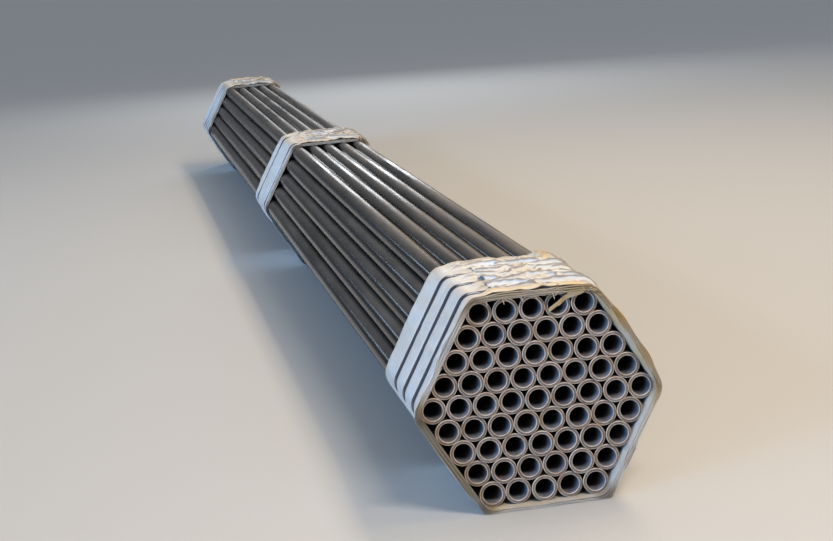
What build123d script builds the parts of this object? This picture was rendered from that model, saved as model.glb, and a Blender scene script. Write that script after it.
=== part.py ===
from build123d import *
import math
import os

# Hexagonal bundle of steel pipes, strapped over woven cloth wraps. All sizes are in millimetres.
# X runs across the bundle, Y along the pipes and Z up. The ground is at Z = 0, and the origin
# is on it, under the middle of the bundle. The end called front is the one towards -Y.

# Pipes: DN 40, extra strong, in a stock length
PIPE_OD = 48.3
PIPE_WALL = 6.3
PIPE_LENGTH = 6000.0
PIPES_A_SIDE = 5
PIPE_GAP = 0.3
# No two pipes end quite level: the shift goes round a sine by these steps in radians
END_STAGGER = 2.5
STAGGER_STEP_IN_ROW = 2.4
STAGGER_STEP_BY_ROW = 1.7

# Cloth wraps: many turns of woven band, pressed thin under the straps
CLOTH_WIDTH = 360.0
CLOTH_OVERHANG = 20.0
CLOTH_CLEARANCE = 0.3
CLOTH_UNDER_STRAP = 4.4
CLOTH_SHOULDER = 2.4
CLOTH_SHOULDER_RUN = 4.0
CLOTH_CROWN = 4.6
CLOTH_PRESSED = 6.7

# Straps: steel packing band, with its two ends lapped and held by a crimped seal
STRAP_WIDTH = 19.0
STRAP_THICKNESS = 0.9
STRAP_CLEARANCE = 0.2
STRAP_LAP = 120.0
GROOVE_MARGIN = 2.5
END_STRAPS = 3
END_STRAP_FIRST = 70.0
END_STRAP_PITCH = 95.0
MIDDLE_STRAPS = 2
MIDDLE_STRAP_PITCH = 226.0

# Seals: a folded plate round the lap, notched on both edges by the crimping tool
SEAL_LENGTH = 34.0
SEAL_THICKNESS = 0.9
SEAL_CLEARANCE = 0.2
# The seals lie up to this far from the middle of their side, by steps of a sine in radians
SEAL_WANDER = 28.0
SEAL_WANDER_STEP = 2.1
NOTCH_WIDTH = 4.5
NOTCH_DEPTH = 3.2
NOTCH_PITCH = 14.0

# The hexagon that the pipes fill: its side joins the axes of two corner pipes
SIDES = 6
SIDE_TURN = 360 / SIDES
PIPE_RADIUS = PIPE_OD / 2
BORE_RADIUS = PIPE_RADIUS - PIPE_WALL
PITCH = PIPE_OD + PIPE_GAP
ROW_RISE = PITCH * math.sqrt(3) / 2
ROWS = 2 * PIPES_A_SIDE - 1
HEX_SIDE = (PIPES_A_SIDE - 1) * PITCH

# Layers, each given by how far it stands off the outermost pipes
CLOTH_INNER = CLOTH_CLEARANCE
GROOVE_FLOOR = CLOTH_INNER + CLOTH_UNDER_STRAP
SHOULDER = GROOVE_FLOOR + CLOTH_SHOULDER
CROWN = GROOVE_FLOOR + CLOTH_CROWN
FLAT = CLOTH_INNER + CLOTH_PRESSED
STRAP_INNER = GROOVE_FLOOR + STRAP_CLEARANCE
STRAP_OUTER = STRAP_INNER + STRAP_THICKNESS
LAP_OUTER = STRAP_OUTER + STRAP_THICKNESS
SEAL_INNER = LAP_OUTER + SEAL_CLEARANCE
SEAL_OUTER = SEAL_INNER + SEAL_THICKNESS
GROOVE_WIDTH = STRAP_WIDTH + 2 * GROOVE_MARGIN

# Heights: the cloth is pressed flat where the bundle lies, and where the next one lies on it
AXIS_HEIGHT = FLAT + PIPE_RADIUS + (ROWS - 1) / 2 * ROW_RISE
BUNDLE_HEIGHT = 2 * AXIS_HEIGHT

# Sides are named by the angle of their outward normal from +X; the seals are on the upper right
FIRST_SIDE = SIDE_TURN / 2
SEAL_SIDE = FIRST_SIDE

# Places along the bundle
END_WRAP_Y = PIPE_LENGTH / 2 + CLOTH_OVERHANG - CLOTH_WIDTH / 2
END_STRAPS_Y = [
    END_STRAP_FIRST + i * END_STRAP_PITCH - CLOTH_WIDTH / 2 for i in range(END_STRAPS)
]
MIDDLE_STRAPS_Y = [
    (i - (MIDDLE_STRAPS - 1) / 2) * MIDDLE_STRAP_PITCH for i in range(MIDDLE_STRAPS)
]
WRAPS = {
    "front": (-END_WRAP_Y, END_STRAPS_Y),
    "middle": (0.0, MIDDLE_STRAPS_Y),
    "rear": (END_WRAP_Y, [-y for y in reversed(END_STRAPS_Y)]),
}


def side_plane(angle, y):
    """Plane across the side whose outward normal is at this angle, where that side begins.

    Its own x axis runs along the bundle and its own y axis outwards, from the corner pipe's
    axis. It looks along the side.
    """
    start = math.radians(angle + SIDE_TURN / 2)
    turn = math.radians(angle)
    return Plane(
        origin=(HEX_SIDE * math.cos(start), y, AXIS_HEIGHT + HEX_SIDE * math.sin(start)),
        x_dir=(0, 1, 0),
        z_dir=(math.sin(turn), 0, -math.cos(turn)),
    )


def across_plane(y):
    """Plane across the whole bundle, with its own y axis upwards."""
    return Plane(origin=(0, y, AXIS_HEIGHT), x_dir=(1, 0, 0), z_dir=(0, -1, 0))


def pipe(column_x, row_z, shift):
    ring = Circle(PIPE_RADIUS) - Circle(BORE_RADIUS)
    place = across_plane(shift) * Pos(column_x, row_z)
    return extrude(place * ring, amount=PIPE_LENGTH / 2, both=True)


def pipe_row(row):
    """The pipes of one row, counted from the bottom, each a solid of its own."""
    step = row - (PIPES_A_SIDE - 1)
    count = ROWS - abs(step)
    pipes = []
    for i in range(count):
        shift = END_STAGGER * math.sin(STAGGER_STEP_IN_ROW * i + STAGGER_STEP_BY_ROW * row)
        pipes.append(pipe((i - (count - 1) / 2) * PITCH, step * ROW_RISE, shift))
    return pipes


def cloth_section(strap_places):
    """Section of a wrap, cut along the bundle: crowned bands with a groove at each strap."""
    edges = [-CLOTH_WIDTH / 2]
    for y in strap_places:
        edges += [y - GROOVE_WIDTH / 2, y + GROOVE_WIDTH / 2]
    edges.append(CLOTH_WIDTH / 2)
    bands = list(zip(edges[0::2], edges[1::2]))

    inner = PIPE_RADIUS + CLOTH_INNER
    floor = PIPE_RADIUS + GROOVE_FLOOR
    shoulder = PIPE_RADIUS + SHOULDER
    crown = PIPE_RADIUS + CROWN
    outline = [Line((edges[-1], inner), (edges[0], inner))]
    last = (edges[0], inner)
    for number, (begin, end) in enumerate(bands):
        begin_run = CLOTH_SHOULDER_RUN if number > 0 else 0
        end_run = CLOTH_SHOULDER_RUN if number < len(bands) - 1 else 0
        rise = (begin + begin_run, shoulder)
        fall = (end - end_run, shoulder)
        if number > 0:
            outline.append(Line(last, (begin, floor)))
            last = (begin, floor)
        outline.append(Line(last, rise))
        outline.append(ThreePointArc(rise, ((rise[0] + fall[0]) / 2, crown), fall))
        last = (end, floor) if end_run else (end, inner)
        outline.append(Line(fall, last))
    return make_face(outline)


def wrap(y, strap_places):
    """Six straight sides and six round corners of one section, pressed flat above and below."""
    section = cloth_section(strap_places)
    pieces = []
    for side in range(SIDES):
        plane = side_plane(FIRST_SIDE + side * SIDE_TURN, y)
        face = plane * section
        corner = Axis(plane.origin, (0, -1, 0))
        pieces.append(extrude(face, amount=HEX_SIDE, dir=plane.z_dir))
        pieces.append(revolve(face, axis=corner, revolution_arc=SIDE_TURN))
    ring = pieces[0].fuse(*pieces[1:])
    width = 2 * (HEX_SIDE + PIPE_RADIUS + CROWN)
    pressed = Pos(0, y, AXIS_HEIGHT) * Box(2 * width, 2 * CLOTH_WIDTH, BUNDLE_HEIGHT)
    return ring & pressed


def hexagon(stand_off):
    """The bundle's outline at this distance from its outermost pipes."""
    middles = RegularPolygon(HEX_SIDE, SIDES)
    return offset(middles, amount=PIPE_RADIUS + stand_off, kind=Kind.ARC)


def seal_place(y, number):
    """Plane on the strap where its ends lap, with its own z axis outwards and x along the strap."""
    plane = side_plane(SEAL_SIDE, y)
    along = HEX_SIDE / 2 + SEAL_WANDER * math.sin(SEAL_WANDER_STEP * number)
    origin = plane.origin + plane.z_dir * along + plane.y_dir * PIPE_RADIUS
    return Plane(origin=origin, x_dir=plane.z_dir, z_dir=plane.y_dir)


def slab(length, width, low, high):
    """A flat plate between two distances from the pipes."""
    plate = Box(length, width, high - low)
    return Pos(0, 0, (low + high) / 2) * plate


def strap(y, number):
    loop = extrude(
        across_plane(y) * (hexagon(STRAP_OUTER) - hexagon(STRAP_INNER)),
        amount=STRAP_WIDTH / 2,
        both=True,
    )
    lap = slab(STRAP_LAP, STRAP_WIDTH, STRAP_OUTER, LAP_OUTER)
    return loop + seal_place(y, number) * lap


def seal(y, number):
    wide = STRAP_WIDTH + 2 * (SEAL_CLEARANCE + SEAL_THICKNESS)
    body = slab(SEAL_LENGTH, wide, STRAP_INNER, SEAL_OUTER)
    body -= slab(2 * SEAL_LENGTH, STRAP_WIDTH + 2 * SEAL_CLEARANCE, 0, SEAL_INNER)
    for x in (-NOTCH_PITCH / 2, NOTCH_PITCH / 2):
        for edge in (-wide / 2, wide / 2):
            notch = slab(NOTCH_WIDTH, 2 * NOTCH_DEPTH, 0, 2 * SEAL_OUTER)
            body -= Pos(x, edge, 0) * notch
    return seal_place(y, number) * body


def save(name, solids):
    export_step(Compound(children=solids), os.path.join("parts", name + ".step"))


os.makedirs("parts", exist_ok=True)

for row in range(ROWS):
    save(f"pipe_row_{row + 1}", pipe_row(row))

strap_number = 0
for wrap_name, (wrap_y, strap_places) in WRAPS.items():
    save(f"wrap_{wrap_name}", [wrap(wrap_y, strap_places)])
    for i, place in enumerate(strap_places):
        strap_number += 1
        save(f"strap_{wrap_name}_{i + 1}", [strap(wrap_y + place, strap_number)])
        save(f"seal_{wrap_name}_{i + 1}", [seal(wrap_y + place, strap_number)])
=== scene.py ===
import math

import bmesh
import bpy
import numpy as np
from mathutils import Euler, Matrix, Vector, noise


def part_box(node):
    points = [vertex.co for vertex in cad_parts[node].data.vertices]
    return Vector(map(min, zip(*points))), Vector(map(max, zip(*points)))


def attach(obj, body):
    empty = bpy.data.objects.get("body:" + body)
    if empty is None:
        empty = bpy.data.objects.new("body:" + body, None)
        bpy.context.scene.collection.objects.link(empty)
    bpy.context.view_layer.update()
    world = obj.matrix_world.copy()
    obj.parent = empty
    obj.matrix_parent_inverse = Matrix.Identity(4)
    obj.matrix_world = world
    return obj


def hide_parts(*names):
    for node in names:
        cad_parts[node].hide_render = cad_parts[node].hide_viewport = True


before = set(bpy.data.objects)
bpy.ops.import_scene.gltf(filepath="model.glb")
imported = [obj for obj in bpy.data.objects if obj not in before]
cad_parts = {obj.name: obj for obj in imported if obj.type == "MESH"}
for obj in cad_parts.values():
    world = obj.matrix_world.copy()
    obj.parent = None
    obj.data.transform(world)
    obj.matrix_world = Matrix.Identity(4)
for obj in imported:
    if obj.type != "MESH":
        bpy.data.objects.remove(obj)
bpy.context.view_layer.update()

# Sizes in metres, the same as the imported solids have. X runs across the bundle, Y along the pipes.
PIPE_OD = 0.0483
PIPE_WALL = 0.0063
PIPE_LENGTH = 6.0
PIPES_A_SIDE = 5
PIPE_PITCH = 0.0486
END_STAGGER = 0.0025
STAGGER_STEP_IN_ROW = 2.4
STAGGER_STEP_BY_ROW = 1.7

CLOTH_WIDTH = 0.36
CLOTH_CLEARANCE = 0.0003
CLOTH_UNDER_STRAP = 0.0044
CLOTH_CROWN = 0.0046
END_WRAP_Y = 2.84
END_STRAP_FIRST = 0.07
END_STRAP_PITCH = 0.095
MIDDLE_STRAP_PITCH = 0.226

STRAP_WIDTH = 0.019
STRAP_THICKNESS = 0.0009
STRAP_STAND_OFF = 0.0049
STRAP_LAP = 0.12
SEAL_WANDER = 0.028
SEAL_WANDER_STEP = 2.1

# The bundle's hexagon joins the axes of its corner pipes
PIPE_RADIUS = PIPE_OD / 2
ROWS = 2 * PIPES_A_SIDE - 1
ROW_RISE = PIPE_PITCH * math.sqrt(3) / 2
HEX_SIDE = (PIPES_A_SIDE - 1) * PIPE_PITCH
AXIS_HEIGHT = (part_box("pipe_row_5")[0].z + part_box("pipe_row_5")[1].z) / 2
CORNER_TURN = math.pi / 3

# Each wrap: its place, its straps' places from its middle, its open edge, and tapes frayed there
END_STRAPS = [END_STRAP_FIRST + i * END_STRAP_PITCH - CLOTH_WIDTH / 2 for i in range(3)]
WRAPS = {
    "front": {"y": -END_WRAP_Y, "straps": END_STRAPS, "open": -1, "tapes": 130, "seed": 3.0},
    "middle": {
        "y": 0.0,
        "straps": [-MIDDLE_STRAP_PITCH / 2, MIDDLE_STRAP_PITCH / 2],
        "open": 0,
        "tapes": 60,
        "seed": 17.0,
    },
    "rear": {
        "y": END_WRAP_Y,
        "straps": [-y for y in END_STRAPS[::-1]],
        "open": 1,
        "tapes": 130,
        "seed": 31.0,
    },
}


# Modelling helpers

def select_nothing():
    for thing in bpy.context.selected_objects:
        thing.select_set(False)


def only(piece):
    """The one selected and active object."""
    select_nothing()
    piece.select_set(True)
    bpy.context.view_layer.objects.active = piece


def apply_modifiers(piece):
    only(piece)
    for modifier in list(piece.modifiers):
        bpy.ops.object.modifier_apply(modifier=modifier.name)


def settle(piece):
    """Puts the place of a finished piece into its mesh, with its object at the origin."""
    only(piece)
    bpy.ops.object.transform_apply(location=True, rotation=True, scale=True)


def select_faces(piece, wanted):
    """In edit mode, selects just the faces for which wanted(face) is true."""
    mesh = bmesh.from_edit_mesh(piece.data)
    for face in mesh.faces:
        face.select_set(wanted(face))
    mesh.select_flush_mode()
    bmesh.update_edit_mesh(piece.data)


def select_edges(piece, wanted):
    """In edit mode, selects just the edges for which wanted(edge) is true."""
    mesh = bmesh.from_edit_mesh(piece.data)
    for face in mesh.faces:
        face.select_set(False)
    for edge in mesh.edges:
        edge.select_set(wanted(edge))
    bmesh.update_edit_mesh(piece.data)


def into_scene(name, data):
    made = bpy.data.objects.new(name, data)
    bpy.context.scene.collection.objects.link(made)
    return made


def copy_of(piece, name):
    twin = piece.copy()
    twin.data = piece.data.copy()
    twin.name = name
    bpy.context.scene.collection.objects.link(twin)
    return twin


def join(pieces, name):
    select_nothing()
    for piece in pieces:
        piece.select_set(True)
    bpy.context.view_layer.objects.active = pieces[0]
    bpy.ops.object.join()
    pieces[0].name = name
    return pieces[0]


def belongs(piece, slot, *nodes):
    """The piece rides on the bundle and may stand for CAD nodes, which it hides; its slot is not
    used.
    """
    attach(piece, "root")
    if nodes:
        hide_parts(*nodes)


def wear(piece, *materials):
    piece.data.materials.clear()
    for material in materials:
        piece.data.materials.append(material)


# Shader helpers

def socket(item):
    """A value, a socket, or a node's first output."""
    return item.outputs[0] if isinstance(item, bpy.types.Node) else item


def node(tree, kind, settings=None, **inputs):
    """Adds a node, with its settings, and its inputs as values or as what they are linked to."""
    made = tree.nodes.new(kind)
    for name, value in (settings or {}).items():
        setattr(made, name, value)
    for name, value in inputs.items():
        key = int(name[1:]) if name[0] == "i" and name[1:].isdigit() else name.replace("_", " ")
        value = socket(value)
        if isinstance(value, bpy.types.NodeSocket):
            tree.links.new(value, made.inputs[key])
        else:
            made.inputs[key].default_value = value
    return made


def maths(tree, operation, a, b=0.5, clamp=False):
    return node(tree, "ShaderNodeMath", {"operation": operation, "use_clamp": clamp}, i0=a, i1=b)


def times(tree, a, b, clamp=False):
    return maths(tree, "MULTIPLY", a, b, clamp)


def here(tree):
    """A point's own place, in metres."""
    return node(tree, "ShaderNodeTexCoord").outputs["Object"]


def attribute(tree, name):
    return node(tree, "ShaderNodeAttribute", {"attribute_name": name}).outputs["Fac"]


def bumps(tree, height, strength, distance):
    return node(tree, "ShaderNodeBump", Strength=strength, Distance=distance, Height=height)


def blend_colours(tree, share, first, second):
    made = node(tree, "ShaderNodeMix", {"data_type": "RGBA"}, i0=share)
    for key, value in ((6, first), (7, second)):
        value = socket(value)
        if isinstance(value, bpy.types.NodeSocket):
            tree.links.new(value, made.inputs[key])
        else:
            made.inputs[key].default_value = (*value, 1.0)
    return made.outputs[2]


def group(name, inputs, outputs):
    """An empty shader group with these number inputs, given as name and value, and mask outputs."""
    tree = bpy.data.node_groups.new(name, "ShaderNodeTree")
    for title, value in inputs.items():
        made = tree.interface.new_socket(title, in_out="INPUT", socket_type="NodeSocketFloat")
        made.default_value = value
    for title in outputs:
        tree.interface.new_socket(title, in_out="OUTPUT", socket_type="NodeSocketFloat")
    return tree, tree.nodes.new("NodeGroupInput"), tree.nodes.new("NodeGroupOutput")


def use(tree, shared, **inputs):
    return node(tree, "ShaderNodeGroup", {"node_tree": shared}, **inputs)


def material(name):
    made = bpy.data.materials.new(name)
    made.use_nodes = True
    made.node_tree.nodes.clear()
    tree = made.node_tree
    shader = tree.nodes.new("ShaderNodeBsdfPrincipled")
    out = tree.nodes.new("ShaderNodeOutputMaterial")
    tree.links.new(shader.outputs[0], out.inputs["Surface"])
    return made, tree, shader


def feed(tree, shader, **inputs):
    for name, value in inputs.items():
        value = socket(value)
        target = shader.inputs[name.replace("_", " ")]
        if isinstance(value, bpy.types.NodeSocket):
            tree.links.new(value, target)
        else:
            target.default_value = value


# Effects that several materials share

def dust_and_top_light_group():
    """Dust that settles on what faces up at least as far as Level, thicker in drifts. Its tint also
    paints the warm light that falls on the tops.
    """
    tree, given, out = group(
        "dust and painted top light", {"Scale": 9.0, "Amount": 0.5, "Level": 0.15}, ["Mask"]
    )
    facing = node(tree, "ShaderNodeNewGeometry").outputs["Normal"]
    up = node(tree, "ShaderNodeSeparateXYZ", Vector=facing).outputs["Z"]
    level = node(tree, "ShaderNodeMapRange", Value=up, From_Max=0.95)
    tree.links.new(given.outputs["Level"], level.inputs["From Min"])
    longer = node(tree, "ShaderNodeMapping", Vector=here(tree), Scale=(1.0, 0.22, 1.0))
    drift = node(tree, "ShaderNodeTexNoise", Vector=longer, Detail=6.0, Roughness=0.62)
    tree.links.new(given.outputs["Scale"], drift.inputs["Scale"])
    patches = node(
        tree, "ShaderNodeMapRange", Value=drift.outputs["Fac"], From_Min=0.32, From_Max=0.72
    )
    thick = times(tree, level, patches)
    amount = times(tree, thick, given.outputs["Amount"], clamp=True)
    tree.links.new(amount.outputs[0], out.inputs["Mask"])
    return tree


def patch_group():
    """Soft-edged patches, for stains, rust and worn places."""
    tree, given, out = group(
        "patches", {"Scale": 4.0, "From": 0.5, "To": 0.7, "Stretch": 1.0}, ["Mask"]
    )
    place = here(tree)
    stretch = node(tree, "ShaderNodeCombineXYZ", X=1.0, Z=1.0)
    tree.links.new(given.outputs["Stretch"], stretch.inputs["Y"])
    scaled = node(tree, "ShaderNodeVectorMath", {"operation": "MULTIPLY"}, i0=place, i1=stretch)
    field = node(tree, "ShaderNodeTexNoise", Vector=scaled, Detail=8.0, Roughness=0.6)
    tree.links.new(given.outputs["Scale"], field.inputs["Scale"])
    mask = node(tree, "ShaderNodeMapRange", Value=field.outputs["Fac"])
    tree.links.new(given.outputs["From"], mask.inputs["From Min"])
    tree.links.new(given.outputs["To"], mask.inputs["From Max"])
    tree.links.new(mask.outputs[0], out.inputs["Mask"])
    return tree


DUST_AND_TOP_LIGHT = dust_and_top_light_group()
PATCHES = patch_group()


# Materials

def black_varnish():
    """Oiled black varnish on a rolled pipe, streaked lengthways, tan on top with dust and a painted
    warm reflection.
    """
    made, tree, shader = material("black_varnish")
    streak = use(tree, PATCHES, Scale=60.0, From=0.35, To=0.75, Stretch=0.03)
    thin = use(tree, PATCHES, Scale=14.0, From=0.52, To=0.80, Stretch=0.25)
    dust_and_top_light = use(tree, DUST_AND_TOP_LIGHT, Scale=9.0, Amount=0.62, Level=0.55)
    base = blend_colours(tree, streak, (0.003, 0.0035, 0.005), (0.010, 0.011, 0.014))
    brown = blend_colours(tree, times(tree, thin, 0.35), base, (0.055, 0.040, 0.030))
    own = node(tree, "ShaderNodeMapRange", Value=attribute(tree, "tone"), To_Min=0.6)
    # Dust and painted warm reflection: the tops of the pipes turn tan
    top_dust_and_light = times(tree, dust_and_top_light, own)
    colour = blend_colours(tree, top_dust_and_light, brown, (0.26, 0.22, 0.175))
    rough = maths(tree, "MULTIPLY_ADD", streak, 0.10)
    rough.inputs[2].default_value = 0.16
    rougher = maths(tree, "ADD", rough, times(tree, top_dust_and_light, 0.9), clamp=True)
    ripple = use(tree, PATCHES, Scale=90.0, From=0.2, To=0.8, Stretch=0.02)
    bump = bumps(tree, ripple, 0.10, 0.0004)
    feed(tree, shader, Base_Color=colour, Roughness=rougher, Normal=bump)
    shader.inputs["Specular IOR Level"].default_value = 0.35
    shader.inputs["Coat Weight"].default_value = 0.12
    shader.inputs["Coat Roughness"].default_value = 0.08
    return made


def sawn_steel():
    """Cut pipe ends: dull grey-brown steel with saw marks and a film of rust."""
    made, tree, shader = material("sawn_steel")
    turned = node(tree, "ShaderNodeMapping", Vector=here(tree), Rotation=(0.0, 0.6, 0.0))
    cuts = node(
        tree, "ShaderNodeTexWave", {"wave_type": "BANDS", "bands_direction": "X"}, Vector=turned,
        Scale=420.0, Distortion=3.0, Detail=2.0,
    )
    rust = use(tree, PATCHES, Scale=55.0, From=0.42, To=0.70)
    worn = use(tree, PATCHES, Scale=160.0, From=0.45, To=0.72)
    grey = blend_colours(tree, worn, (0.19, 0.18, 0.185), (0.33, 0.31, 0.305))
    colour = blend_colours(tree, times(tree, rust, 0.75), grey, (0.19, 0.10, 0.06))
    shade = times(tree, attribute(tree, "tone"), 0.4)
    darker = blend_colours(tree, shade, colour, (0.05, 0.045, 0.045))
    bump = bumps(tree, cuts.outputs["Fac"], 0.35, 0.0002)
    metal = maths(tree, "MULTIPLY_ADD", rust, -0.3)
    metal.inputs[2].default_value = 0.4
    feed(tree, shader, Base_Color=darker, Roughness=0.48, Metallic=metal, Normal=bump)
    return made


def bore_scale():
    """Inside of a pipe: dark mill scale under oil, with some rust. Near the mouths it has painted
    bluish light, and deeper in painted shade.
    """
    made, tree, shader = material("bore_scale")
    rust = use(tree, PATCHES, Scale=18.0, From=0.50, To=0.74, Stretch=0.35)
    scaled = use(tree, PATCHES, Scale=70.0, From=0.35, To=0.7, Stretch=0.2)
    # Painted shade deep inside the bore, and painted bluish light on the inner wall near each mouth
    deep = blend_colours(tree, scaled, (0.020, 0.021, 0.025), (0.05, 0.05, 0.055))
    mouth = blend_colours(tree, scaled, (0.12, 0.13, 0.16), (0.25, 0.26, 0.29))
    place = node(tree, "ShaderNodeSeparateXYZ", Vector=here(tree))
    along = maths(tree, "ABSOLUTE", place.outputs["Y"])
    end = PIPE_LENGTH / 2
    light_near_mouth = node(
        tree, "ShaderNodeMapRange", Value=along, From_Min=end - 0.06, From_Max=end - 0.005
    )
    dark = blend_colours(tree, light_near_mouth, deep, mouth)
    share = times(tree, rust, times(tree, attribute(tree, "tone"), 0.8))
    colour = blend_colours(tree, share, dark, (0.17, 0.07, 0.03))
    bump = bumps(tree, scaled, 0.4, 0.0003)
    feed(tree, shader, Base_Color=colour, Roughness=0.42, Normal=bump)
    return made


def weave_group():
    """Flat tapes woven over and under. Reads the cloth's own map, in metres."""
    tree, given, out = group("woven tapes", {"Tape": 0.0025}, ["Height", "Gap"])
    place = node(tree, "ShaderNodeUVMap", {"uv_map": "cloth"})
    tape = node(tree, "ShaderNodeCombineXYZ", Z=1.0)
    for axis in ("X", "Y"):
        tree.links.new(given.outputs["Tape"], tape.inputs[axis])
    cell = node(tree, "ShaderNodeVectorMath", {"operation": "DIVIDE"}, i0=place, i1=tape)
    parts = node(tree, "ShaderNodeSeparateXYZ", Vector=cell)
    humps = []
    for axis in ("X", "Y"):
        wave = maths(tree, "SINE", times(tree, parts.outputs[axis], math.pi))
        humps.append(maths(tree, "ABSOLUTE", wave))
    cells = [maths(tree, "FLOOR", parts.outputs[axis]) for axis in ("X", "Y")]
    over = maths(tree, "PINGPONG", maths(tree, "ADD", cells[0], cells[1]), 1.0)
    height = node(tree, "ShaderNodeMix", i0=over, i2=humps[0], i3=humps[1])
    narrow = maths(tree, "MINIMUM", humps[0], humps[1])
    gap = node(tree, "ShaderNodeMapRange", Value=narrow, From_Min=0.25, From_Max=0.0)
    tree.links.new(height.outputs[0], out.inputs["Height"])
    tree.links.new(gap.outputs[0], out.inputs["Gap"])
    return tree


WEAVE = weave_group()


def woven_cloth():
    """White woven tape cloth, cream on top with dust and painted warm light, grubby below, darker in
    its creases with painted shade and dirt, and straw-coloured where it frays.
    """
    made, tree, shader = material("woven_cloth")
    weave = use(tree, WEAVE, Tape=0.0026)
    grime = use(tree, PATCHES, Scale=7.0, From=0.46, To=0.78)
    spots = use(tree, PATCHES, Scale=38.0, From=0.56, To=0.74)
    dust_and_top_light = use(tree, DUST_AND_TOP_LIGHT, Scale=16.0, Amount=0.95)
    edge = attribute(tree, "fray")
    high = node(tree, "ShaderNodeSeparateXYZ", Vector=here(tree)).outputs["Z"]
    low = node(tree, "ShaderNodeMapRange", Value=high, From_Min=0.12, From_Max=0.0)
    white = blend_colours(tree, weave.outputs["Gap"], (0.74, 0.76, 0.77), (0.54, 0.54, 0.52))
    # Dust and painted warm light: what faces up turns cream
    cream = blend_colours(tree, times(tree, dust_and_top_light, 1.5, clamp=True), white, (0.62, 0.52, 0.38))
    dull = blend_colours(tree, times(tree, grime, 0.35), cream, (0.46, 0.42, 0.35))
    dirty = times(tree, low, maths(tree, "ADD", grime, 0.35, clamp=True))
    muddy = blend_colours(tree, times(tree, dirty, 0.45), dull, (0.24, 0.21, 0.17))
    marked = blend_colours(tree, times(tree, spots, 0.25), muddy, (0.20, 0.18, 0.16))
    # Painted shade and dirt: the cloth darkens in its creases and hollows
    hollow = times(tree, attribute(tree, "hollow"), 0.8)
    shade_and_dirt_lined = blend_colours(tree, hollow, marked, (0.15, 0.12, 0.095))
    colour = blend_colours(tree, edge, shade_and_dirt_lined, (0.61, 0.43, 0.19))
    bump = bumps(tree, weave.outputs["Height"], 0.5, 0.0004)
    feed(tree, shader, Base_Color=colour, Roughness=0.55, Normal=bump)
    shader.inputs["Sheen Weight"].default_value = 0.15
    return made


def strap_steel():
    """Blue-black strapping, scuffed bright in patches and rusted in places."""
    made, tree, shader = material("strap_steel")
    scuffs = use(tree, PATCHES, Scale=120.0, From=0.56, To=0.72)
    rust = use(tree, PATCHES, Scale=30.0, From=0.60, To=0.78)
    bare = times(tree, scuffs, 0.45)
    blued = blend_colours(tree, bare, (0.010, 0.014, 0.034), (0.16, 0.165, 0.18))
    colour = blend_colours(tree, times(tree, rust, 0.5), blued, (0.13, 0.055, 0.025))
    bump = bumps(tree, scuffs, 0.2, 0.0002)
    feed(tree, shader, Base_Color=colour, Roughness=0.36, Metallic=bare, Normal=bump)
    return made


def seal_steel():
    """Bare zinc-grey seal plate, dulled and scratched."""
    made, tree, shader = material("seal_steel")
    scratch = use(tree, PATCHES, Scale=260.0, From=0.4, To=0.7, Stretch=0.15)
    stain = use(tree, PATCHES, Scale=90.0, From=0.5, To=0.75)
    grey = blend_colours(tree, scratch, (0.10, 0.105, 0.115), (0.20, 0.205, 0.215))
    colour = blend_colours(tree, times(tree, stain, 0.5), grey, (0.12, 0.08, 0.06))
    bump = bumps(tree, scratch, 0.3, 0.0001)
    feed(tree, shader, Base_Color=colour, Roughness=0.4, Metallic=0.85, Normal=bump)
    return made


def lip_with_highlight():
    """The eased edges of a cut end, rubbed bright and painted lighter still as a highlight, with
    rust setting in.
    """
    made, tree, shader = material("lip_with_highlight")
    rust = use(tree, PATCHES, Scale=45.0, From=0.40, To=0.60)
    # Partly painted highlight: the bright lip colour stands for light catching the rims
    colour = blend_colours(tree, rust, (0.86, 0.75, 0.62), (0.60, 0.44, 0.31))
    bump = bumps(tree, rust, 0.3, 0.0002)
    feed(tree, shader, Base_Color=colour, Roughness=0.42, Metallic=0.35, Normal=bump)
    return made


VARNISH = black_varnish()
SAWN = sawn_steel()
BORE = bore_scale()
LIP_WITH_HIGHLIGHT = lip_with_highlight()
CLOTH = woven_cloth()
STRAP = strap_steel()
SEAL = seal_steel()


# Pipes

PIPE_FACETS = 48
LIP = 0.0012
# Each pipe's roll and tone go by these steps in its row and from row to row
ROLL_STEPS = (1.3, 0.7)
TONE_STEPS = (5.3, 3.1)


def model_pipe():
    """One pipe about the origin, along Y: a bar whose ends are inset, joined through and eased."""
    bpy.ops.mesh.primitive_cylinder_add(
        vertices=PIPE_FACETS, radius=PIPE_RADIUS, depth=PIPE_LENGTH, end_fill_type="NGON",
        rotation=(math.pi / 2, 0, 0),
    )
    pipe = bpy.context.object
    settle(pipe)
    bpy.ops.object.mode_set(mode="EDIT")
    bpy.ops.mesh.select_mode(type="FACE")
    select_faces(pipe, lambda face: abs(face.normal.y) > 0.9)
    bpy.ops.mesh.inset(thickness=PIPE_WALL)
    bpy.ops.mesh.bridge_edge_loops()
    bpy.ops.mesh.select_mode(type="EDGE")
    end = PIPE_LENGTH / 2 - 0.0001

    def on_a_lip(edge):
        a, b = (vertex.co for vertex in edge.verts)
        level = abs(math.hypot(a.x, a.z) - math.hypot(b.x, b.z)) < 0.0005
        return abs(a.y) > end and abs(b.y) > end and level

    select_edges(pipe, on_a_lip)
    bpy.ops.mesh.bevel(offset=LIP, segments=2, affect="EDGES")
    bpy.ops.object.mode_set(mode="OBJECT")
    wear(pipe, VARNISH, SAWN, BORE, LIP_WITH_HIGHLIGHT)
    for face in pipe.data.polygons:
        centre = face.center
        if abs(centre.y) > PIPE_LENGTH / 2 - LIP:
            face.material_index = 1 if abs(face.normal.y) > 0.99 else 3
        elif math.hypot(centre.x, centre.z) < PIPE_RADIUS - PIPE_WALL / 2:
            face.material_index = 2
    pipe.data.attributes.new("tone", "FLOAT", "POINT")
    only(pipe)
    bpy.ops.object.shade_smooth_by_angle(angle=math.radians(30))
    return pipe


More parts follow.
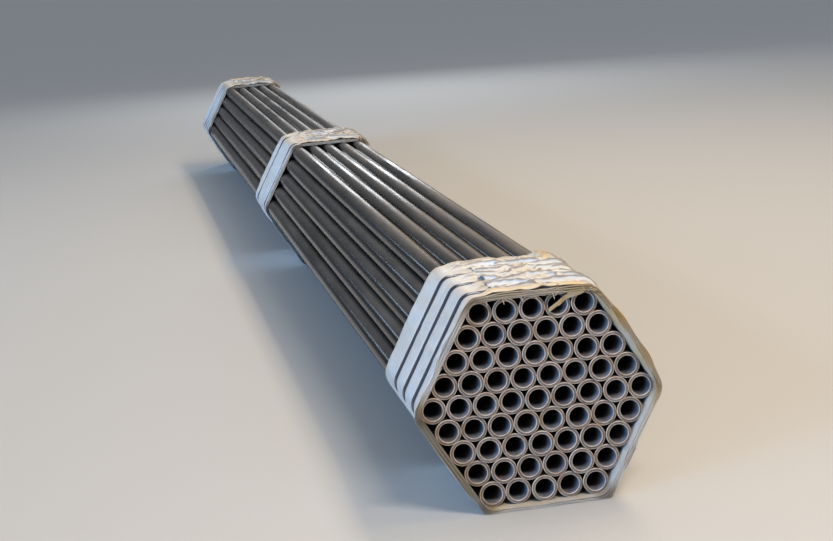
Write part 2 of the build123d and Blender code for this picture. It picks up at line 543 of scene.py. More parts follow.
def lay_pipes():
    pattern = model_pipe()
    for row in range(ROWS):
        step = row - (PIPES_A_SIDE - 1)
        count = ROWS - abs(step)
        laid = []
        for i in range(count):
            pipe = copy_of(pattern, f"pipe_{row + 1}_{i + 1}")
            shift = END_STAGGER * math.sin(STAGGER_STEP_IN_ROW * i + STAGGER_STEP_BY_ROW * row)
            x = (i - (count - 1) / 2) * PIPE_PITCH
            roll = Matrix.Rotation(ROLL_STEPS[0] * i + ROLL_STEPS[1] * row, 4, "Y")
            place = Matrix.Translation((x, shift, AXIS_HEIGHT + step * ROW_RISE))
            pipe.data.transform(place @ roll)
            own = 0.5 + 0.5 * math.sin(TONE_STEPS[0] * i + TONE_STEPS[1] * row)
            values = np.full(len(pipe.data.vertices), own, np.float32)
            pipe.data.attributes["tone"].data.foreach_set("value", values)
            laid.append(pipe)
        whole = join(laid, f"row_{row + 1}_pipes")
        belongs(whole, "pipe_steel", f"pipe_row_{row + 1}")
    bpy.data.objects.remove(pattern)


# The outline that cloth and straps follow, clockwise seen from the front, from the top left corner

BASE_STAND_OFF = 0.005
SIDE_SPAN = HEX_SIDE + (PIPE_RADIUS + BASE_STAND_OFF) * CORNER_TURN
ROUND = 6 * SIDE_SPAN


def outline(along, stand_off):
    """Points of the bundle's outline as x, z, with their outward normals as nx, nz."""
    along = np.mod(along, ROUND)
    side = np.floor(along / SIDE_SPAN)
    rest = along - side * SIDE_SPAN
    turned = np.clip((rest - HEX_SIDE) / (SIDE_SPAN - HEX_SIDE), 0, 1) * CORNER_TURN
    start = 2 * CORNER_TURN - side * CORNER_TURN
    facing = math.pi / 2 - side * CORNER_TURN
    run = np.minimum(rest, HEX_SIDE)
    reach = PIPE_RADIUS + stand_off
    nx, nz = np.cos(facing - turned), np.sin(facing - turned)
    x = HEX_SIDE * np.cos(start) + run * np.sin(facing) + reach * nx
    z = HEX_SIDE * np.sin(start) - run * np.cos(facing) + reach * nz
    return x, AXIS_HEIGHT + z, nx, nz


def smooth(value):
    value = np.clip(value, 0, 1)
    return value * value * (3 - 2 * value)


def field(points, seed):
    """Soft noise from -1 to 1 at many points."""
    shift = Vector((seed, seed * 0.37, seed * 1.9))
    return np.array([noise.noise(Vector(p) + shift) for p in points])


def hollows(mesh, reach, rounds):
    """How deep each point lies below what is round it, from 0 to 1, as an attribute of the mesh."""
    count = len(mesh.vertices)
    co = np.empty(count * 3, np.float32)
    normal = np.empty(count * 3, np.float32)
    mesh.vertices.foreach_get("co", co)
    mesh.vertex_normals.foreach_get("vector", normal)
    ends = np.empty(len(mesh.edges) * 2, np.int32)
    mesh.edges.foreach_get("vertices", ends)
    a, b = ends[0::2], ends[1::2]
    co = co.reshape(-1, 3).astype(np.float64)
    beside = np.maximum(np.bincount(a, minlength=count) + np.bincount(b, minlength=count), 1)
    soft = co.copy()
    for _ in range(rounds):
        total = np.stack([
            np.bincount(a, soft[b, k], count) + np.bincount(b, soft[a, k], count)
            for k in range(3)
        ], axis=-1)
        soft = total / beside[:, None]
    depth = ((soft - co) * normal.reshape(-1, 3)).sum(axis=-1) / reach
    attribute = mesh.attributes.get("hollow") or mesh.attributes.new("hollow", "FLOAT", "POINT")
    attribute.data.foreach_set("value", np.clip(depth, 0, 1).astype(np.float32))


def sheet_mesh(name, points, rows, columns, uv, fray):
    """A grid of points as a smooth sheet, with its map in metres and how frayed each point is."""
    index = np.arange(rows * columns).reshape(rows, columns)
    quads = np.stack(
        [index[:-1, :-1], index[:-1, 1:], index[1:, 1:], index[1:, :-1]], axis=-1
    ).reshape(-1, 4)
    mesh = bpy.data.meshes.new(name)
    mesh.from_pydata(points.reshape(-1, 3).tolist(), [], quads.tolist())
    layer = mesh.uv_layers.new(name="cloth")
    corners = np.empty(len(mesh.loops), np.int32)
    mesh.loops.foreach_get("vertex_index", corners)
    layer.data.foreach_set("uv", uv.reshape(-1, 2)[corners].astype(np.float32).ravel())
    attribute = mesh.attributes.new("fray", "FLOAT", "POINT")
    attribute.data.foreach_set("value", fray.ravel().astype(np.float32))
    mesh.polygons.foreach_set("use_smooth", np.ones(len(mesh.polygons), bool))
    return into_scene(name, mesh)


# Cloth wraps: inner turns, which show at their edges, one outer turn, and a loose end on top

TURNS = 9
BAND_END = 0.75 * HEX_SIDE
CLOTH_GAUGE = 0.0006
OUTER_STEP = 0.0045
OUTER_POINTS = 81
INNER_STEP = 0.011
INNER_SPACING = 0.05

# How high the cloth stands: at its free edges, in folds, and where a strap lets go of it
EDGE_FLARE = 0.0065
EDGE_RUN = 0.05
HIDDEN_EDGE_FLARE = 0.35
TOP_FOLDS = 0.0095
TOP_FOLDS_RUN = 0.03
SIDE_FOLDS = 0.0010
GATHERS = 0.0006
STRAP_MARGIN = 0.001
STRAP_RUN = 0.008
COVERED_HEIGHT = 0.0085
COVER_RUN = (0.016, 0.02)
LOWEST_CLOTH = 0.0003
TURN_OVER_TURN = 0.004
INNER_SWELL = (0.045, 0.02)

# How far the turns' edges waver along the bundle: in waves, and from turn to turn
EDGE_WAVER = 0.0035
EDGE_STEP = 0.0022
EDGE_INWARDS = 0.002

# The open edge is spread outwards on the upper right side, from one share of the sides to another
SPLAY = 0.0075
SPLAY_RUN = 0.028
SPLAY_FROM = 0.93
SPLAY_LENGTH = 0.97

# How straw-coloured the edge is in the middle of each side, clockwise from the top and back to it
STRAW_SHARES = (0.55, 1.1, 0.2, 0.0, 0.55, 0.05, 0.55)
STRAW_MIDDLE = 0.45
STRAW_WIDTH = 0.032
STRAW_RUN = 0.020


def splay(around):
    """How far the open edge is spread outwards like a funnel: on the upper right side only."""
    place = np.clip((around / SIDE_SPAN - SPLAY_FROM) / SPLAY_LENGTH, 0, 1)
    return SPLAY * np.sin(math.pi * place)


def strap_hold(across, straps):
    """0 under a strap, rising to 1 where the cloth is free of every strap."""
    hold = np.ones_like(across)
    for y in straps:
        clear = np.maximum(np.abs(across - y) - STRAP_WIDTH / 2 - STRAP_MARGIN, 0)
        hold = np.minimum(hold, 1 - np.exp(-clear / STRAP_RUN))
    return hold


def ridges(points, seed):
    """Sharp-backed folds, from 0 to 1, like those of crumpled cloth."""
    return 1 - np.minimum(np.abs(field(points, seed)) * 2.4, 1)


def edge_spacing(middle_step):
    """Places across the band, close together near both edges."""
    edge = np.array([0, 0.002, 0.005, 0.009, 0.015, 0.023, 0.034, 0.05])
    half = CLOTH_WIDTH / 2
    count = int(2 * (half - edge[-1]) / middle_step)
    middle = np.linspace(-half + edge[-1], half - edge[-1], count + 1)[1:-1]
    return np.concatenate([-half + edge, middle, half - edge[::-1]])


def top_folds(around, across, seed):
    """Height of the sharp folds that the outer turn has on the top flat."""
    on_top = smooth((around + 0.004) / TOP_FOLDS_RUN)
    on_top = on_top * smooth((HEX_SIDE + 0.012 - around) / TOP_FOLDS_RUN)
    spots = np.stack([around * 10, across * 34, np.zeros_like(across)], axis=-1).reshape(-1, 3)
    folds = ridges(spots, seed + 3).reshape(around.shape) ** 1.5
    finer = ridges(spots * np.array([2.8, 1.9, 1]), seed + 4).reshape(around.shape)
    return TOP_FOLDS * on_top * (0.7 * folds + 0.3 * finer)


def under_loose_end(around, across):
    """1 where the loose end lies on the outer turn, falling to 0 round it."""
    reach = LOOSE_COVER[0] / 2 - 0.006
    covered = smooth((reach - np.abs(around - HEX_SIDE / 2 - LOOSE_MIDDLE)) / COVER_RUN[0])
    return covered * smooth((LOOSE_COVER[1] / 2 - np.abs(across)) / COVER_RUN[1])


def wind(name, wrap, first, turns, step, across):
    """A length of the band, from the turn called first on. Returns the sheet, without thickness."""
    rows = int(turns * ROUND / step) + 1
    along = np.linspace(first * ROUND, (first + turns) * ROUND, rows) + BAND_END
    s, v = np.meshgrid(along, across, indexing="ij")
    around = np.mod(s, ROUND)
    depth = (s - BAND_END) / (TURNS * ROUND)
    turn = np.floor((s - BAND_END) / ROUND)
    hold = strap_hold(v, wrap["straps"])
    if first == 0:
        hold = smooth((np.abs(v) - CLOTH_WIDTH / 2 + INNER_SWELL[0]) / INNER_SWELL[1])

    on_flat = np.clip(np.mod(around, SIDE_SPAN) / HEX_SIDE, 0, 1)
    slack = 0.6 + 0.5 * np.sin(math.pi * on_flat) ** 0.7
    free = smooth((np.abs(v) - CLOTH_WIDTH / 2 + EDGE_RUN) / EDGE_RUN)
    open_edge = np.where(np.sign(v) == wrap["open"], 1.0, HIDDEN_EDGE_FLARE)

    angle = around / ROUND * 2 * math.pi
    loop = np.stack([np.cos(angle), np.sin(angle)], axis=-1) * ROUND / (2 * math.pi)

    def waves(fine, lengthways, seed, shape=field):
        grid = np.stack([loop[..., 0] * fine, loop[..., 1] * fine, v * lengthways], axis=-1)
        return shape(grid.reshape(-1, 3), wrap["seed"] + seed).reshape(s.shape)

    swell = waves(14, 10, 2.0)
    billow = waves(16, 0, 5.0)
    thick = CLOTH_UNDER_STRAP - CLOTH_GAUGE + CLOTH_CROWN * hold * slack * (1 + 0.35 * swell)
    flare = EDGE_FLARE * free * open_edge * (0.8 + 0.7 * billow)
    spread = depth + 0.035 * np.sin(2 * math.pi * (2.5 * depth + 1.5 * billow))
    height = CLOTH_CLEARANCE + spread * (thick + flare)
    at_mouth = smooth((v * wrap["open"] - CLOTH_WIDTH / 2 + SPLAY_RUN) / SPLAY_RUN) ** 2
    height += splay(around) * at_mouth
    if first > 0:
        height += GATHERS * waves(60, 12, 1.0) * hold
        creases = 0.6 * waves(9, 55, 7.0, ridges) + 0.4 * waves(34, 60, 8.0, ridges)
        height += SIDE_FOLDS * hold * (creases - 0.4)
        height += hold * top_folds(around, v, wrap["seed"])
        height -= under_loose_end(around, v) * np.maximum(height - COVERED_HEIGHT, 0)

    x, z, nx, nz = outline(s, height)
    z = np.maximum(z, LOWEST_CLOTH + (1 - depth) * TURN_OVER_TURN)
    uneven = EDGE_WAVER * waves(20, 0, 11.0) + EDGE_STEP * np.sin(turn * 2.4 + wrap["seed"])
    y = wrap["y"] + v + (uneven - EDGE_INWARDS) * free * np.sign(v)
    points = np.stack([x, y, z], axis=-1)
    uv = np.stack([s, v], axis=-1)
    return sheet_mesh(name, points, len(along), len(across), uv, fraying(around, v, wrap, billow))


def fraying(around, across, wrap, mottle):
    """How straw-coloured the cloth is: most along the open edge, on the top and upper right."""
    near = smooth((np.abs(across) - CLOTH_WIDTH / 2 + STRAW_WIDTH) / STRAW_RUN)
    place = around / SIDE_SPAN - STRAW_MIDDLE
    share = np.interp(place, range(len(STRAW_SHARES)), STRAW_SHARES)
    facing = np.where(np.sign(across) == wrap["open"], 1.0, 0.4)
    return np.clip(near * share * facing * (1 + 0.8 * mottle), 0, 1)


def refine(piece):
    finer = piece.modifiers.new("finer", "SUBSURF")
    finer.levels = finer.render_levels = 1
    apply_modifiers(piece)


def thicken(piece, gauge=CLOTH_GAUGE):
    solid = piece.modifiers.new("gauge", "SOLIDIFY")
    solid.thickness = gauge
    solid.offset = 1.0
    apply_modifiers(piece)


# The loose end: its flat size, how much of the top it covers once bunched, and where
LOOSE_FLAT = (0.22, 0.43)
LOOSE_COVER = (0.180, 0.320)
LOOSE_MIDDLE = 0.040
LOOSE_STEP = 0.0055

# Heights of the waves that it is bunched in, and the gap and the plate that it is pressed between
BUNCH_HEIGHTS = (0.036, 0.015, 0.006)
BUNCH_DRIFT = 0.010
LOOSE_GAP = 0.0008
LOOSE_HEIGHT = 0.02
SETTLE_TURNS = 90
SETTLE_ROUNDS = 14
FALL = 0.00035
SLOWING = 0.96

# Where it lies on the wrap, and the peak that stands up near its corner
LOOSE_BASE = 0.0098
LOOSE_PRESSED = 0.8
LOOSE_TOP = 0.0175
LOOSE_WRINKLES = 0.0013
LOOSE_SWAY = 0.014
LOOSE_STRAW = 0.4
PEAK = (0.052, 0.135)
PEAK_RISE = 0.012
PEAK_WIDTH = 0.012
PEAK_STRAW = 0.75


def pull_together(near, far, length, share, only_push=False):
    """Moves two arrays of points in place towards being this far apart."""
    gap = far - near
    size = np.sqrt((gap * gap).sum(axis=-1, keepdims=True)) + 1e-9
    move = gap * (share * 0.5 * (size - length) / size)
    if only_push:
        move *= size < length
    near += move
    far -= move


def settle_cloth(spots, step, turns):
    """Lets a bunched sheet fall on a level top while a plate presses it down to its last height."""
    before = spots.copy()
    rise = float(spots[..., 2].max()) + 0.005
    uneven = field(spots.reshape(-1, 3) * np.array([22, 30, 0]), 23.0).reshape(spots.shape[:2])
    for turn in range(turns):
        speed = (spots - before) * SLOWING
        before = spots.copy()
        spots += speed
        spots[..., 2] -= FALL
        ceiling = max(rise + (LOOSE_HEIGHT - rise) * turn / (0.6 * turns), LOOSE_HEIGHT)
        ceiling = ceiling * (0.8 + 0.7 * uneven)
        for _ in range(SETTLE_ROUNDS):
            for grid in (spots, spots.transpose(1, 0, 2)):
                for odd in (0, 1):
                    pull_together(grid[odd:-1:2], grid[odd + 1::2], step, 1.0)
                for third in range(4):
                    ends = grid[third + 2::4]
                    starts = grid[third:-2:4]
                    pull_together(starts, ends, 1.6 * step, 0.2, only_push=True)
            diagonal = step * math.sqrt(2)
            for a in (0, 1):
                for b in (0, 1):
                    pull_together(spots[a:-1:2, b:-1:2], spots[a + 1::2, b + 1::2], diagonal, 0.25)
                    pull_together(spots[a + 1::2, b:-1:2], spots[a:-1:2, b + 1::2], diagonal, 0.25)
            held = spots[..., 2] < LOOSE_GAP
            for axis in (0, 1):
                spots[..., axis] -= held * 0.6 * (spots[..., axis] - before[..., axis])
            np.clip(spots[..., 2], LOOSE_GAP, ceiling, out=spots[..., 2])
    return spots


def bunch_loose_end():
    """The band's loose end, bunched by hand and pressed down on a level top, at the origin."""
    count = [2 * int(size / LOOSE_STEP / 2) + 1 for size in LOOSE_FLAT]
    u, v = np.meshgrid(*[np.linspace(-0.5, 0.5, n) for n in count], indexing="ij")
    flat = np.stack([u * LOOSE_FLAT[0], v * LOOSE_FLAT[1], 0 * u], axis=-1)
    spots = flat.reshape(-1, 3)
    large = field(spots * np.array([9, 34, 1]), 3.0)
    small = field(spots * np.array([28, 50, 1]), 8.0)
    drift = field(spots * np.array([14, 14, 1]), 16.0)
    fine = field(spots * np.array([70, 90, 1]), 12.0)
    z = BUNCH_HEIGHTS[0] * large + BUNCH_HEIGHTS[1] * small + BUNCH_HEIGHTS[2] * fine
    bunched = np.stack([
        u.ravel() * LOOSE_COVER[0] * (1 + 0.06 * small) + BUNCH_DRIFT * drift,
        v.ravel() * LOOSE_COVER[1] + BUNCH_DRIFT * small,
        z - z.min() + 0.002,
    ], axis=-1).reshape(count[0], count[1], 3)
    shaped = settle_cloth(bunched, LOOSE_STEP, SETTLE_TURNS)
    cloth = sheet_mesh("loose_end", shaped, *count, flat[..., 1::-1], np.zeros(u.size))
    refine(cloth)
    return cloth


def lay_loose_end(pattern, wrap, name, turned):
    """Lays a copy of the loose end on the wrap, following the bundle round its corners."""
    piece = copy_of(pattern, name)
    count = len(piece.data.vertices)
    co = np.empty(count * 3, np.float32)
    piece.data.vertices.foreach_get("co", co)
    co = co.reshape(-1, 3)
    if turned:
        co[:, :2] *= -1
    lift = np.minimum(co[:, 2], 0.023) * LOOSE_PRESSED
    from_peak = np.hypot((co[:, 0] - PEAK[0]) * 1.3, co[:, 1] - PEAK[1])
    has_peak = name.startswith("front")
    lift += PEAK_RISE * np.exp(-((from_peak / PEAK_WIDTH) ** 2)) * has_peak
    wrinkle = np.stack([co[:, 0] * 42, co[:, 1] * 75, 0 * co[:, 0]], axis=-1)
    lift += LOOSE_WRINKLES * ridges(wrinkle, 29.0) ** 2
    lift = np.minimum(lift, LOOSE_TOP)
    lengthways = np.stack([0 * co[:, 1], co[:, 1] * 15, 0 * co[:, 1]], axis=-1)
    sway = LOOSE_SWAY * field(lengthways, 41.0)
    x, z, _, _ = outline(HEX_SIDE / 2 + LOOSE_MIDDLE + co[:, 0] + sway, LOOSE_BASE + lift)
    out = np.stack([x, wrap["y"] + co[:, 1] * 1.02, z], axis=-1).astype(np.float32)
    piece.data.vertices.foreach_set("co", out.ravel())
    straw = LOOSE_STRAW * smooth((np.abs(co[:, 1]) - 0.14) / 0.03)
    straw_peak = PEAK_STRAW * np.exp(-((from_peak / 2 / PEAK_WIDTH) ** 2)) * has_peak
    straw = np.maximum(straw, straw_peak)
    piece.data.attributes["fray"].data.foreach_set("value", straw.astype(np.float32))
    piece.data.update()
    return piece


# Frayed tapes: how low and high they reach, their usual sizes, and how many stand at a cut end
TAPE_LOWEST = 0.0005
TAPE_HIGHEST = 2 * AXIS_HEIGHT + 0.0185
TAPE_POINTS = 6
TAPE_DROOP = 0.14
TAPE_HALF_WIDTH = 0.0005
TAPE_GAUGE = 0.00025
TAPE_SHARE_CUT = 0.4


def lay_tape(tapes, spot, heading, out, run, bend, length, half_width, tint):
    """Adds one tape end, which bends sideways and outwards as it goes, and droops."""
    first = len(tapes["corners"])
    last = TAPE_POINTS - 1
    for k in range(TAPE_POINTS):
        wide = heading.cross(out).normalized() * (half_width if k < last else 0.4 * half_width)
        for corner in (spot - wide, spot + wide):
            height = min(max(corner.z, TAPE_LOWEST), TAPE_HIGHEST)
            tapes["corners"].append((corner.x, corner.y, height))
            tapes["tints"].append(tint)
        if k:
            a = first + 2 * k
            tapes["faces"].append((a - 2, a - 1, a + 1, a))
        heading = heading + run * bend[0] * 0.5 + out * bend[1] + Vector((0, 0, -TAPE_DROOP))
        heading.normalize()
        spot = spot + heading * length / last


def fray_open_edge(tapes, wrap, draw):
    """Loose tape ends along the open edge, most of them on the top and the upper right."""
    for _ in range(wrap["tapes"]):
        side = wrap["open"] or draw.choice([-1, 1])
        place = (draw.beta(1.2, 3.4) if draw.random() < 0.9 else draw.random()) * ROUND
        height = 0.002 + draw.random() * 0.009 + 0.8 * float(splay(place)) * abs(wrap["open"])
        length = 0.006 + 0.022 * draw.random() ** 2
        x, z, nx, nz = (float(a[0]) for a in outline(np.array([place]), height))
        run = Vector((nz, 0, -nx)) * draw.choice([-1, 1])
        out = Vector((nx, 0, nz))
        spot = Vector((x, wrap["y"] + side * (CLOTH_WIDTH / 2 - 0.006), z))
        heading = (Vector((0, side, 0)) + run * abs(draw.normal(0, 0.9))).normalized()
        bend = draw.normal(0, 0.5), draw.normal(-0.08, 0.09)
        tint = 0.1 + 0.55 * draw.random()
        lay_tape(tapes, spot, heading, out, run, bend, length, TAPE_HALF_WIDTH, tint)


def fray_cut_end(tapes, piece, share, draw):
    """Tape ends that stick out all along the edge of the loose end."""
    cloth = bmesh.new()
    cloth.from_mesh(piece.data)
    cloth.normal_update()
    edge = [vertex for vertex in cloth.verts if vertex.is_boundary]
    for vertex in sorted(edge, key=lambda vertex: [round(value, 5) for value in vertex.co]):
        if draw.random() > share:
            continue
        inside = sum((face.calc_center_median() for face in vertex.link_faces), Vector())
        away = (vertex.co - inside / len(vertex.link_faces)).normalized()
        out = vertex.normal if vertex.normal.z > 0 else -vertex.normal
        run = away.cross(out).normalized()
        heading = (away + run * draw.normal(0, 0.3)).normalized()
        bend = draw.normal(0, 0.25), draw.normal(0.02, 0.06)
        length = 0.003 + 0.013 * draw.random() ** 2
        half_width = 0.0004 + 0.0007 * draw.random()
        lay_tape(
            tapes, vertex.co - heading * 0.002, heading, out, run, bend, length, half_width,
            0.35 * draw.random(),
        )
    cloth.free()


def fray_tapes(name, wrap, loose_end, seed):
    draw = np.random.default_rng(seed)
    tapes = {"corners": [], "faces": [], "tints": []}
    fray_open_edge(tapes, wrap, draw)
    fray_cut_end(tapes, loose_end, TAPE_SHARE_CUT, draw)
    return tape_mesh(name, **tapes)


def tape_mesh(name, corners, faces, tints):
    mesh = bpy.data.meshes.new(name)
    mesh.from_pydata(corners, [], faces)
    mesh.uv_layers.new(name="cloth")
    tint = mesh.attributes.new("fray", "FLOAT", "POINT")
    tint.data.foreach_set("value", np.array(tints, np.float32))
    piece = into_scene(name, mesh)
    thicken(piece, TAPE_GAUGE)
    wear(piece, CLOTH)
    belongs(piece, "wrap_cloth")
    return piece


# The torn strip: its flat size, its start, its reach across and down, and half its width there
STRIP_FLAT = (0.0125, 0.083)
STRIP_START = 0.098
STRIP_REACH = 0.066
STRIP_DROP = 0.030
STRIP_ABOVE_ROW = 0.026
STRIP_HALF_WIDTH = 0.0075
STRIP_AHEAD = 0.0075


def torn_strip():
    """A torn strip of cloth that hangs from the top edge across the mouth of the fourth pipe."""
    across, along = 5, 15
    u, v = np.meshgrid(np.linspace(-1, 1, across), np.linspace(0, 1, along), indexing="ij")
    ragged = field(np.stack([u * 3, v * 9, 0 * u], axis=-1).reshape(-1, 3), 5.0).reshape(u.shape)
    reach = v * (1 + 0.06 * ragged) + 0.05 * np.abs(u) * (v > 0.9)
    width = STRIP_HALF_WIDTH * (1 - 0.35 * v) * (1 + 0.6 * ragged)
    top_row = AXIS_HEIGHT + ROW_RISE * (PIPES_A_SIDE - 1)
    x = STRIP_START - STRIP_REACH * reach
    z = top_row + STRIP_ABOVE_ROW - STRIP_DROP * reach ** 1.3 + u * width
    curl = 0.004 * np.sin(v * 9) + 0.0025 * ragged * v + 0.003 * u
    y = -PIPE_LENGTH / 2 - STRIP_AHEAD - curl
    points = np.stack([x, y, z], axis=-1)
    uv = np.stack([v * STRIP_FLAT[1], u * STRIP_FLAT[0] / 2], axis=-1)
    strip = sheet_mesh("front_wrap_torn_strip", points, across, along, uv, 0.8 + 0.3 * ragged)
    refine(strip)
    thicken(strip)
    wear(strip, CLOTH)
    belongs(strip, "wrap_cloth")


# How deep a hollow is that is darkened fully, with painted shade and dirt, and over how many points
# it is measured
INNER_SHADE_AND_DIRT = (0.0018, 3)
OUTER_SHADE_AND_DIRT = (0.0033, 5)
LOOSE_SHADE_AND_DIRT = (0.0013, 10)


def wrap_ends():
    even = np.linspace(-CLOTH_WIDTH / 2, CLOTH_WIDTH / 2, OUTER_POINTS)
    uneven = edge_spacing(INNER_SPACING)
    loose = bunch_loose_end()
    for number, (name, wrap) in enumerate(WRAPS.items()):
        inner = wind(f"{name}_wrap_inner_turns", wrap, 0, TURNS - 1, INNER_STEP, uneven)
        outer = wind(f"{name}_wrap_outer_turn", wrap, TURNS - 1, 1.0, OUTER_STEP, even)
        end = lay_loose_end(loose, wrap, f"{name}_wrap_loose_end", number > 0)
        frayed = fray_tapes(f"{name}_wrap_frayed_tapes", wrap, end, number)
        flats = (
            (inner, (CLOTH_WIDTH, (TURNS - 1) * ROUND), "stretched", [], INNER_SHADE_AND_DIRT),
            (outer, (CLOTH_WIDTH, ROUND), "stretched", [frayed], OUTER_SHADE_AND_DIRT),
            (end, LOOSE_FLAT, "laid", [], LOOSE_SHADE_AND_DIRT),
        )
        for piece, flat, held, others, shade_and_dirt in flats:
            hollows(piece.data, *shade_and_dirt)
            thicken(piece)
            wear(piece, CLOTH)
            belongs(piece, "wrap_cloth")
        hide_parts(f"wrap_{name}")
    bpy.data.objects.remove(loose)
    torn_strip()


# Straps

# Where along the lap its tip begins to spring up and bends, as shares of the lap from its middle
SPRING_FROM = 0.30
SPRING_BEND = 0.42
SPRING_RISE = 0.0016
STRAP_EASE = 0.00018
SEAL_EASE = 0.0003


def model_strap():
    """A steel band round the bundle at y = 0: its section extruded along each side and spun
    round each corner."""
    bpy.ops.mesh.primitive_plane_add(size=1.0)
    strap = bpy.context.object
    middle = STRAP_STAND_OFF + STRAP_THICKNESS / 2
    x, z, _, _ = outline(np.array([0.0]), middle)
    for vertex, (dy, dz) in zip(strap.data.vertices, ((-1, -1), (1, -1), (-1, 1), (1, 1))):
        vertex.co = (
            float(x[0]), dy * STRAP_WIDTH / 2, float(z[0]) + dz * STRAP_THICKNESS / 2
        )
    bpy.ops.object.mode_set(mode="EDIT")
    bpy.ops.mesh.select_mode(type="FACE")
    bpy.ops.mesh.select_all(action="SELECT")
    for side in range(6):
        facing = math.pi / 2 - side * CORNER_TURN
        run = Vector((math.sin(facing), 0, -math.cos(facing))) * HEX_SIDE
        bpy.ops.mesh.extrude_region_move(TRANSFORM_OT_translate={"value": run})
        corner = 2 * CORNER_TURN - (side + 1) * CORNER_TURN
        bpy.ops.mesh.spin(
            steps=8, angle=-CORNER_TURN, axis=(0, 1, 0),
            center=(HEX_SIDE * math.cos(corner), 0, AXIS_HEIGHT + HEX_SIDE * math.sin(corner)),
        )
    bpy.ops.mesh.delete(type="FACE")
    bpy.ops.mesh.select_all(action="SELECT")
    bpy.ops.mesh.remove_doubles(threshold=0.00005)
    top = AXIS_HEIGHT + ROW_RISE * (PIPES_A_SIDE - 1)
    start_x = float(x[0])

    def left_inside(face):
        middle = face.calc_center_median()
        return abs(face.normal.x) > 0.99 and abs(middle.x - start_x) < 0.0001 and middle.z > top

    select_faces(strap, left_inside)
    bpy.ops.mesh.delete(type="FACE")
    bpy.ops.mesh.select_all(action="SELECT")
    bpy.ops.mesh.normals_make_consistent(inside=False)
    bpy.ops.object.mode_set(mode="OBJECT")
    return strap


def seal_spot(number):
    """Where the ends of a strap lap, on the upper right side: x, z, and the angle it faces."""
    along = SIDE_SPAN + HEX_SIDE / 2 + SEAL_WANDER * math.sin(SEAL_WANDER_STEP * number)
    x, z, nx, nz = outline(np.array([along]), 0.0)
    return Vector((float(x[0]), 0, float(z[0]))), Vector((float(nx[0]), 0, float(nz[0])))


def model_lap(number):
    """The strap's outer end, lying on the inner one, its cut tip sprung up a little."""
    spot, out = seal_spot(number)
    run = Vector((out.z, 0, -out.x))
    low = STRAP_STAND_OFF + STRAP_THICKNESS
    bpy.ops.mesh.primitive_cube_add(size=1.0)
    lap = bpy.context.object
    bpy.ops.object.mode_set(mode="EDIT")
    bpy.ops.mesh.select_mode(type="FACE")
    bpy.ops.mesh.select_all(action="SELECT")
    bpy.ops.mesh.bisect(plane_co=(SPRING_FROM, 0, 0), plane_no=(1, 0, 0))
    bpy.ops.mesh.select_all(action="SELECT")
    bpy.ops.mesh.bisect(plane_co=(SPRING_BEND, 0, 0), plane_no=(1, 0, 0))
    bpy.ops.object.mode_set(mode="OBJECT")
    for vertex in lap.data.vertices:
        along, across, up = vertex.co
        sprung = SPRING_RISE * max((along - SPRING_FROM) / (0.5 - SPRING_FROM), 0) ** 2
        beside = Vector((0, across * STRAP_WIDTH * 0.985, 0))
        above = low + (up + 0.5) * STRAP_THICKNESS + sprung
        vertex.co = spot + run * along * STRAP_LAP + beside + out * above
    return lap


def copy_of_node(node_name, name):
    """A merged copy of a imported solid's mesh, whose triangles are loose."""
    piece = copy_of(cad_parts[node_name], name)
    only(piece)
    bpy.ops.object.mode_set(mode="EDIT")
    bpy.ops.mesh.select_all(action="SELECT")
    bpy.ops.mesh.remove_doubles(threshold=0.00001)
    bpy.ops.object.mode_set(mode="OBJECT")
    return piece


def ease_edges(piece, width, segments=2):
    bevel = piece.modifiers.new("eased", "BEVEL")
    bevel.width = width
    bevel.segments = segments
    bevel.limit_method = "ANGLE"
    bevel.angle_limit = math.radians(40)
    apply_modifiers(piece)


def fit_straps():
    pattern = model_strap()
    number = 0
    for name, wrap in WRAPS.items():
        for i, y in enumerate(wrap["straps"]):
            number += 1
            band = copy_of(pattern, f"{name}_band_{i + 1}")
            lap = model_lap(number)
            band = join([band, lap], f"{name}_band_{i + 1}")
            band.data.transform(Matrix.Translation((0, wrap["y"] + y, 0)))
            ease_edges(band, STRAP_EASE, 1)
            wear(band, STRAP)
            belongs(band, "strap_steel", f"strap_{name}_{i + 1}")
            crimp = copy_of_node(f"seal_{name}_{i + 1}", f"{name}_crimp_{i + 1}")
            ease_edges(crimp, SEAL_EASE)
            wear(crimp, SEAL)
            belongs(crimp, "seal_steel", f"seal_{name}_{i + 1}")
    bpy.data.objects.remove(pattern)


# Floor, lights and camera

def flat_material(name, colour, roughness):
    made, tree, shader = material(name)
    feed(tree, shader, Base_Color=(*colour, 1.0), Roughness=roughness)
    return made


def hang_lamp(name, kind, place, target, energy, colour):
    lamp = bpy.data.lights.new(name, kind)
    lamp.energy = energy
    lamp.color = colour
    made = into_scene(name, lamp)
    made.location = place
    made.rotation_euler = (Vector(target) - Vector(place)).to_track_quat("-Z", "Y").to_euler()
    return lamp


def soft_light(name, place, target, size, power, colour):
    lamp = hang_lamp(name, "AREA", place, target, power, colour)
    lamp.shape = "RECTANGLE"
    lamp.size, lamp.size_y = size


def daylight(name, place, target, width, strength, colour):
    """Even light from one side, as wide in the sky as this many degrees."""
    lamp = hang_lamp(name, "SUN", place, target, strength, colour)
    lamp.angle = math.radians(width)


def light_tent():
    """Dim light from all round and brighter light from above."""
    world = bpy.data.worlds.new("light_tent")
    world.use_nodes = True
    tree = world.node_tree
    place = node(tree, "ShaderNodeTexCoord").outputs["Generated"]
    up = node(tree, "ShaderNodeSeparateXYZ", Vector=place).outputs["Z"]
    high = node(
        tree, "ShaderNodeMapRange", {"interpolation_type": "SMOOTHSTEP"}, Value=up,
        From_Min=0.1, From_Max=0.95,
    )
    colour = blend_colours(tree, high, (0.135, 0.138, 0.142), (0.42, 0.41, 0.40))
    tree.links.new(colour, tree.nodes["Background"].inputs["Color"])
    bpy.context.scene.world = world


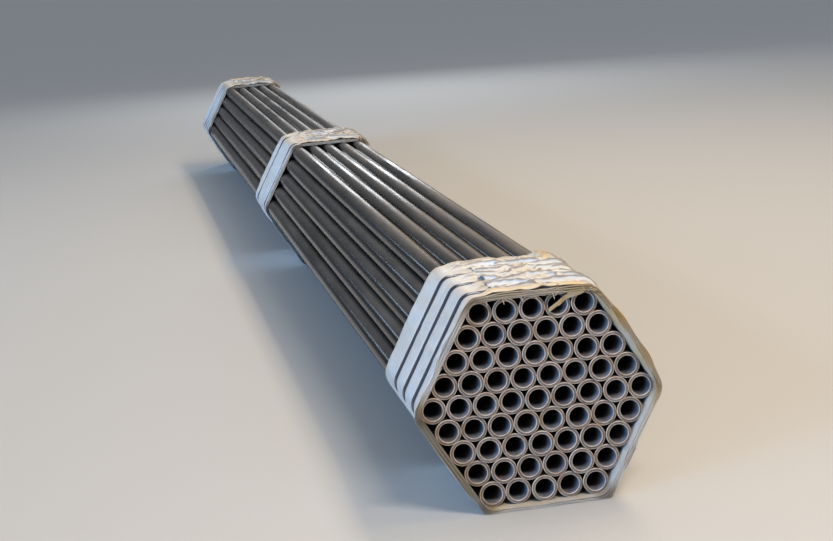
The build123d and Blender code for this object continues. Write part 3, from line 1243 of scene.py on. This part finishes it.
def stage():
    bpy.ops.mesh.primitive_plane_add(size=400.0, location=(0, 0, 0))
    floor = bpy.context.object
    floor.name = "floor"
    settle(floor)
    wear(floor, flat_material("pale_floor", (0.50, 0.495, 0.48), 0.85))
    light_tent()
    cool, cooler = (0.62, 0.80, 1.0), (0.25, 0.54, 1.0)
    daylight("cool_key", (-4.3, -5.2, 1.2), (0, -2.6, 0.2), 30, 2.4, cooler)
    soft_light("cool_strip", (-2.8, -0.4, 1.9), (0, -0.4, 0.3), (7.0, 0.25), 34, cool)
    soft_light("warm_top", (2.1, -0.4, 4.1), (0, -0.4, 0.2), (7.0, 0.7), 190, (1.0, 0.81, 0.59))
    soft_light("front_fill", (0.6, -5.3, 3.0), (0, -3.0, 0.2), (1.2, 0.5), 88, (1.0, 0.89, 0.78))
    soft_light("rear_fill", (1.4, 7.0, 2.4), (0, 3.0, 0.2), (1.6, 1.2), 50, (0.92, 0.96, 1.0))


# The photograph's camera, measured from the middle of the bundle's front end
FRONT = Vector((0.0, -PIPE_LENGTH / 2, AXIS_HEIGHT))
EYE = FRONT + Vector((-0.724, -3.200, 0.847))
YAW, PITCH, ROLL = math.radians(-9.29), math.radians(-6.09), math.radians(4.73)
PHOTO_LENS = 27.7
CLOSER = 2.9
AIM = Vector((0.0, -1.75, 0.23))


def photo_camera():
    """Stands where the photograph was taken, turned to the bundle's middle and zoomed in."""
    held = Matrix.Rotation(YAW, 3, "Z") @ Matrix.Rotation(PITCH, 3, "X")
    held = held @ Matrix.Rotation(ROLL, 3, "Y")
    ahead = held @ Vector((0, 1, 0))
    turn = ahead.rotation_difference(AIM - EYE)
    upright = Euler((math.pi / 2, 0, 0)).to_quaternion()
    camera = into_scene("camera", bpy.data.cameras.new("camera"))
    camera.location = EYE
    camera.rotation_mode = "QUATERNION"
    camera.rotation_quaternion = turn @ held.to_quaternion() @ upright
    camera.data.lens = PHOTO_LENS * CLOSER
    camera.data.sensor_width = 36.0
    camera.data.clip_end = 500.0
    bpy.context.scene.camera = camera


lay_pipes()
wrap_ends()
fit_straps()
stage()
photo_camera()
bpy.context.scene.view_settings.view_transform = "Standard"
